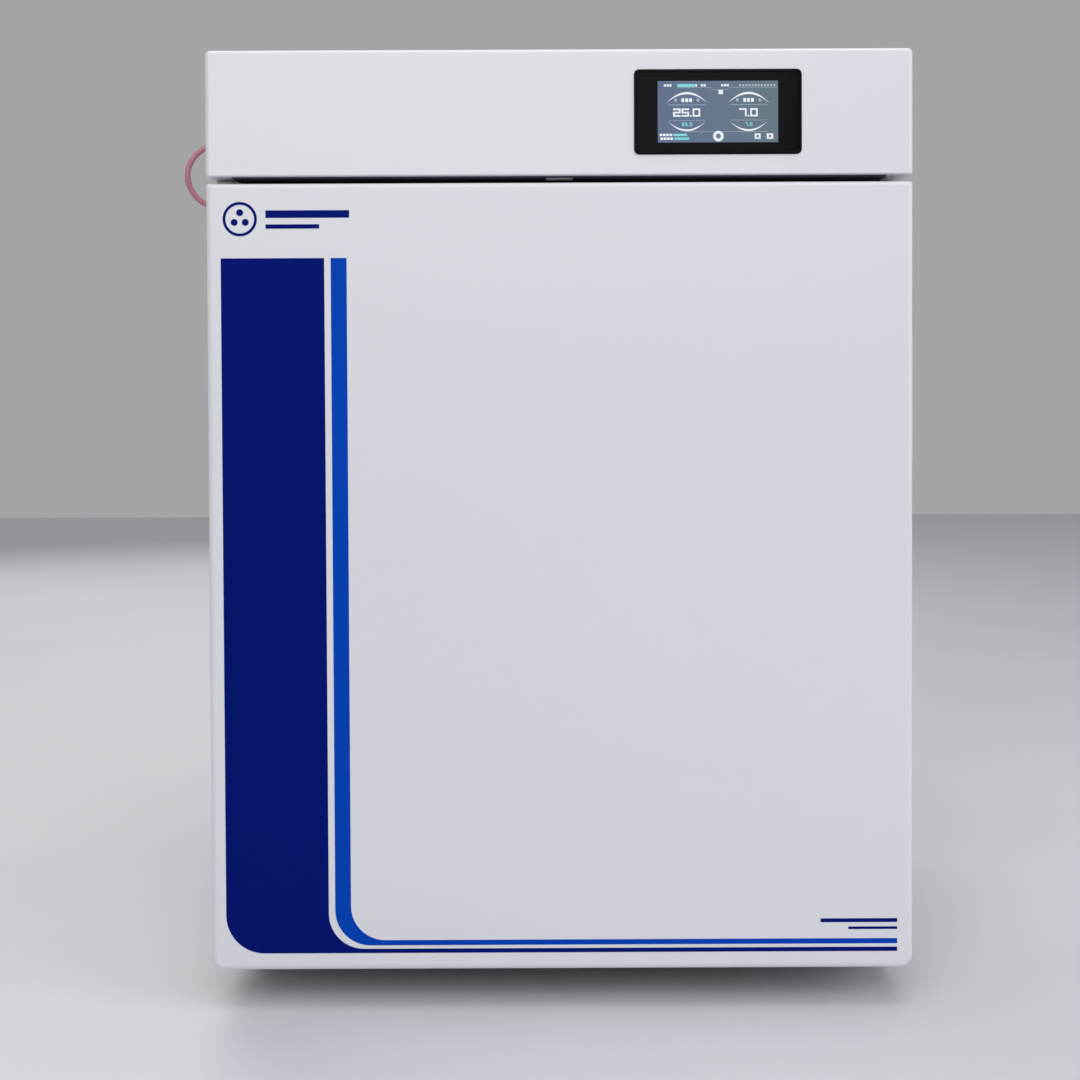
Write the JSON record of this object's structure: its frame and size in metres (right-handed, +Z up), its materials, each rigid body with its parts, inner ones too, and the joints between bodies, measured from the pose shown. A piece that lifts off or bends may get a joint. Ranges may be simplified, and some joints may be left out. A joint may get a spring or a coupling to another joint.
{
  "type": "laboratory co2 incubator",
  "caption": "Upright laboratory CO2 incubator with an insulated outer door, an inner glass door, a steel chamber with shelves and a touch display.",
  "frame": {"origin": "middle of the footprint at floor level, without the side hose", "axes": "+X to the right seen from the front, +Y to the back, +Z up"},
  "size_m": [0.7135, 0.65, 0.9],
  "materials": {
    "painted_steel": "satin",
    "galvanised_steel": "satin",
    "stainless_steel": "satin",
    "frame_plastic": "matte",
    "glass_wool": "matte",
    "heater_foil": "satin",
    "filter_plastic": "matte",
    "motor_metal": "satin",
    "sensor_metal": "satin",
    "silicone_seal": "matte",
    "black_seal": "matte",
    "hinge_metal": "satin",
    "bezel_plastic": "gloss",
    "screen_glass": "gloss",
    "circuit_board": "satin",
    "brass_fitting": "satin",
    "black_plastic": "matte",
    "rubber": "matte",
    "foot_metal": "satin",
    "pink_silicone": "satin",
    "navy_film": "satin",
    "blue_film": "satin",
    "nylon": "satin",
    "clear_glass": "gloss",
    "switch_plastic": "satin",
    "grip_plastic": "satin"
  },
  "bodies": {
    "cabinet": {"base_frame": "painted_steel", "left_side_panel": "painted_steel", "right_side_panel": "painted_steel", "rear_panel": "galvanised_steel", "front_frame": "frame_plastic", "chamber_insulation": "glass_wool", "chamber_liner": "stainless_steel", "wall_heaters": "heater_foil", "shelf_racks": "stainless_steel", "fan_plenum": "stainless_steel", "hepa_filter": "filter_plastic", "fan_motor": "motor_metal", "chamber_sensors": "sensor_metal", "inner_gasket": "silicone_seal", "inner_door_hardware": "hinge_metal", "hinge_brackets": "hinge_metal", "hinge_pins": "hinge_metal", "door_sensor": "filter_plastic", "header_strip": "black_seal", "header_deck": "galvanised_steel", "header_shell": "painted_steel", "header_rear_cover": "painted_steel", "display_bezel": "bezel_plastic", "display_screen": "screen_glass", "control_board": "circuit_board", "power_supply": "galvanised_steel", "solenoid_valve": "brass_fitting", "gas_filter": "filter_plastic", "gas_inlet": "brass_fitting", "sample_port": "brass_fitting", "power_inlet": "black_plastic", "data_port": "galvanised_steel", "access_tube": "stainless_steel", "rear_bumpers": "rubber", "panel_screws": "galvanised_steel", "hose_barbs": "hinge_metal", "gas_hose": "pink_silicone"},
    "outer_door": {"door_skin": "painted_steel", "door_liner": "stainless_steel", "door_insulation": "glass_wool", "door_gasket": "black_seal", "handle_cup": "grip_plastic", "navy_graphic": "navy_film", "blue_graphic": "blue_film", "emblem": "navy_film", "door_bushes": "nylon"},
    "glass_door": {"glass_pane": "clear_glass", "glass_clamps": "hinge_metal"},
    "glass_latch": {"latch_knob": "black_plastic"},
    "shelf_1": {"shelf_1": "stainless_steel"},
    "shelf_2": {"shelf_2": "stainless_steel"},
    "shelf_3": {"shelf_3": "stainless_steel"},
    "humidity_pan": {"humidity_pan": "stainless_steel"},
    "fan_rotor": {"fan_rotor": "stainless_steel"},
    "power_rocker": {"power_rocker": "switch_plastic"},
    "access_plug": {"access_plug": "silicone_seal"},
    "foot_1": {"foot_1": "foot_metal"},
    "foot_2": {"foot_2": "foot_metal"},
    "foot_3": {"foot_3": "foot_metal"},
    "foot_4": {"foot_4": "foot_metal"}
  },
  "joints": [
    {"name": "outer_door_hinge", "type": "hinge", "parent": "cabinet", "child": "outer_door", "pos_m": [-0.314, -0.285, 0.4], "axis": [0, 0, -1], "range_deg": [0, 105]},
    {"name": "glass_door_hinge", "type": "hinge", "parent": "cabinet", "child": "glass_door", "pos_m": [-0.284, -0.251, 0.41], "axis": [0, 0, -1], "range_deg": [0, 90]},
    {"name": "glass_latch_turn", "type": "hinge", "parent": "glass_door", "child": "glass_latch", "pos_m": [0.262, -0.252, 0.41], "axis": [0, 1, 0], "range_deg": [0, 90]},
    {"name": "shelf_1_slide", "type": "slide", "parent": "cabinet", "child": "shelf_1", "axis": [0, -1, 0], "range_m": [0, 0.02]},
    {"name": "shelf_2_slide", "type": "slide", "parent": "cabinet", "child": "shelf_2", "axis": [0, -1, 0], "range_m": [0, 0.02]},
    {"name": "shelf_3_slide", "type": "slide", "parent": "cabinet", "child": "shelf_3", "axis": [0, -1, 0], "range_m": [0, 0.02]},
    {"name": "humidity_pan_slide", "type": "slide", "parent": "cabinet", "child": "humidity_pan", "axis": [0, -1, 0], "range_m": [0, 0.03]},
    {"name": "fan_spin", "type": "hinge", "parent": "cabinet", "child": "fan_rotor", "pos_m": [0, 0.03, 0.7], "axis": [0, 0, 1], "continuous": true},
    {"name": "power_rocker_tip", "type": "hinge", "parent": "cabinet", "child": "power_rocker", "pos_m": [0.19, 0.302, 0.828], "axis": [1, 0, 0], "range_deg": [0, 20]},
    {"name": "access_plug_pull", "type": "slide", "parent": "cabinet", "child": "access_plug", "axis": [0, 1, 0], "range_m": [0, 0.06]},
    {"name": "foot_1_screw", "type": "slide", "parent": "cabinet", "child": "foot_1", "axis": [0, 0, 1], "range_m": [-0.015, 0]},
    {"name": "foot_2_screw", "type": "slide", "parent": "cabinet", "child": "foot_2", "axis": [0, 0, 1], "range_m": [-0.015, 0]},
    {"name": "foot_3_screw", "type": "slide", "parent": "cabinet", "child": "foot_3", "axis": [0, 0, 1], "range_m": [-0.015, 0]},
    {"name": "foot_4_screw", "type": "slide", "parent": "cabinet", "child": "foot_4", "axis": [0, 0, 1], "range_m": [-0.015, 0]}
  ],
  "couplings": [
    {"joint": "glass_door_hinge", "follows": "outer_door_hinge", "ratio": 0.85}
  ]
}
